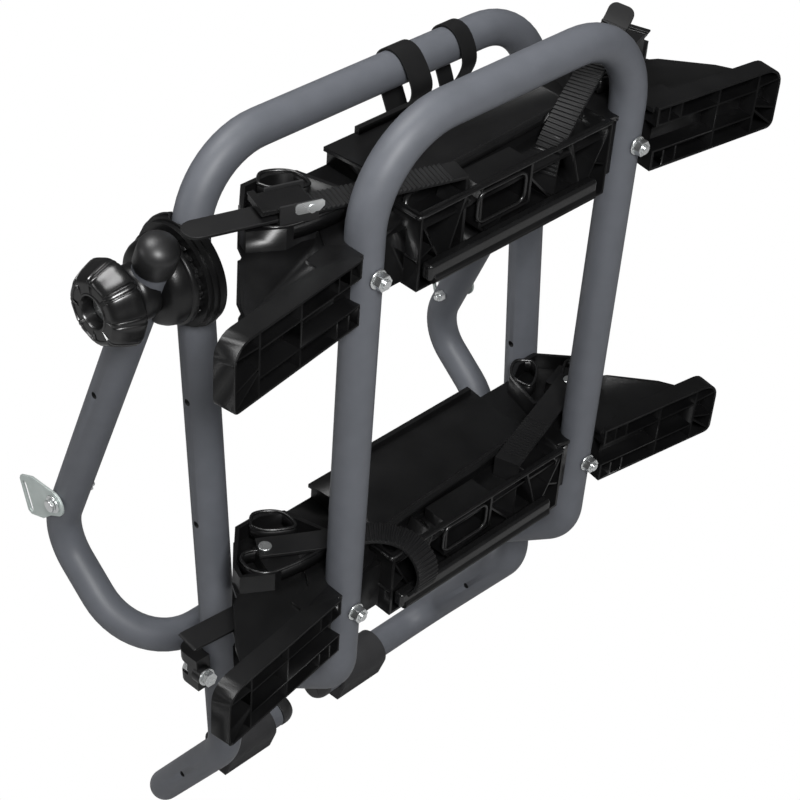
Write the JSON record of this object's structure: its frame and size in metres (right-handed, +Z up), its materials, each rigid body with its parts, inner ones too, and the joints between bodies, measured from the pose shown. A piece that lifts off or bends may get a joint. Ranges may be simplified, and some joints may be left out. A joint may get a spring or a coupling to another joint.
{
  "type": "trunk mounted bike rack",
  "caption": "Folding trunk mounted bike rack: bent tube frames with wheel trays, ratchet straps, lobed knobs on the arm hubs and rubber rest pads.",
  "frame": {"origin": "on the ground under the middle of the rear frame, in the plane of its legs; the rest pads stand on z = 0", "axes": "+X across the car to the rack's right, +Y towards the car, +Z up"},
  "size_m": [0.6416, 0.3807, 0.8911],
  "materials": {
    "frame_paint": "satin powder coat with a fine grain",
    "black_plastic": "black moulded plastic, fine leather grain with glossier edges",
    "knob_gloss": "glossy black moulded plastic",
    "soft_black": "matt black moulded plastic",
    "strap_black": "flexible black plastic with fine grain",
    "pad_rubber": "dark grey rubber, matt",
    "zinc_steel": "bright zinc plate",
    "plate_zinc": "pale grey-green zinc plate"
  },
  "bodies": {
    "rear_frame": {"rear_frame": "frame_paint", "pad_tube_caps": "soft_black", "rest_pad_left": "pad_rubber", "rest_pad_right": "pad_rubber", "hub_housing_left": "black_plastic", "hub_housing_right": "black_plastic", "lock_ring_left": "black_plastic", "lock_ring_right": "black_plastic", "hub_bolt_left": "zinc_steel", "hub_bolt_right": "zinc_steel", "hinge_bracket_left": "black_plastic", "hinge_bracket_right": "black_plastic", "bracket_bolts": "zinc_steel", "bracket_nuts": "zinc_steel", "hinge_pins": "zinc_steel", "hinge_pin_nuts": "zinc_steel", "wide_hold_strap": "strap_black", "narrow_hold_strap": "strap_black"},
    "platform": {"platform_frame": "frame_paint", "platform_end_caps": "soft_black", "upper_tray": "black_plastic", "lower_tray": "black_plastic", "tray_bolts": "zinc_steel", "tray_washers": "zinc_steel", "tray_nuts": "zinc_steel", "upper_left_strap": "strap_black", "upper_right_strap": "strap_black", "lower_left_strap": "strap_black", "lower_right_strap": "strap_black", "lower_left_tongue": "strap_black", "strap_pins": "zinc_steel", "upper_left_buckle": "zinc_steel", "upper_right_buckle": "zinc_steel", "lever_pins": "zinc_steel"},
    "arm": {"trunk_arm": "frame_paint", "arm_end_caps": "soft_black", "cradle_left": "black_plastic", "cradle_right": "black_plastic", "clamp_cap_left": "black_plastic", "clamp_cap_right": "black_plastic", "anchor_bolts": "zinc_steel", "anchor_washers": "zinc_steel", "anchor_nuts": "zinc_steel"},
    "upper_left_lever": {"upper_left_lever": "knob_gloss"},
    "upper_right_lever": {"upper_right_lever": "knob_gloss"},
    "knob_left": {"knob_left": "knob_gloss", "knob_nut_left": "zinc_steel"},
    "knob_right": {"knob_right": "knob_gloss", "knob_nut_right": "zinc_steel"},
    "anchor_plate_left": {"anchor_plate_left": "plate_zinc"},
    "anchor_plate_right": {"anchor_plate_right": "plate_zinc"}
  },
  "joints": [
    {"name": "platform_fold", "type": "hinge", "parent": "rear_frame", "child": "platform", "pos_m": [0, 0, 0.253], "axis": [1, 0, 0], "range_deg": [0, 85]},
    {"name": "arm_fold", "type": "hinge", "parent": "rear_frame", "child": "arm", "pos_m": [0, 0, 0.724], "axis": [1, 0, 0], "range_deg": [0, 150]},
    {"name": "knob_left_turn", "type": "hinge", "parent": "rear_frame", "child": "knob_left", "pos_m": [-0.29, 0, 0.724], "axis": [-1, 0, 0], "continuous": true},
    {"name": "anchor_plate_left_swivel", "type": "hinge", "parent": "arm", "child": "anchor_plate_left", "pos_m": [-0.267, 0.14075, 0.43996], "axis": [-1, 0, 0], "continuous": true},
    {"name": "upper_left_lever_lift", "type": "hinge", "parent": "platform", "child": "upper_left_lever", "pos_m": [-0.17989, -0.11165, 0.82166], "axis": [0.3007, 0.9499, 0.0848], "range_deg": [0, 80]},
    {"name": "knob_right_turn", "type": "hinge", "parent": "rear_frame", "child": "knob_right", "pos_m": [0.29, 0, 0.724], "axis": [1, 0, 0], "continuous": true},
    {"name": "anchor_plate_right_swivel", "type": "hinge", "parent": "arm", "child": "anchor_plate_right", "pos_m": [0.267, 0.14075, 0.43996], "axis": [1, 0, 0], "continuous": true},
    {"name": "upper_right_lever_lift", "type": "hinge", "parent": "platform", "child": "upper_right_lever", "pos_m": [0.17989, -0.11165, 0.82166], "axis": [0.3007, -0.9499, -0.0848], "range_deg": [0, 80]}
  ]
}
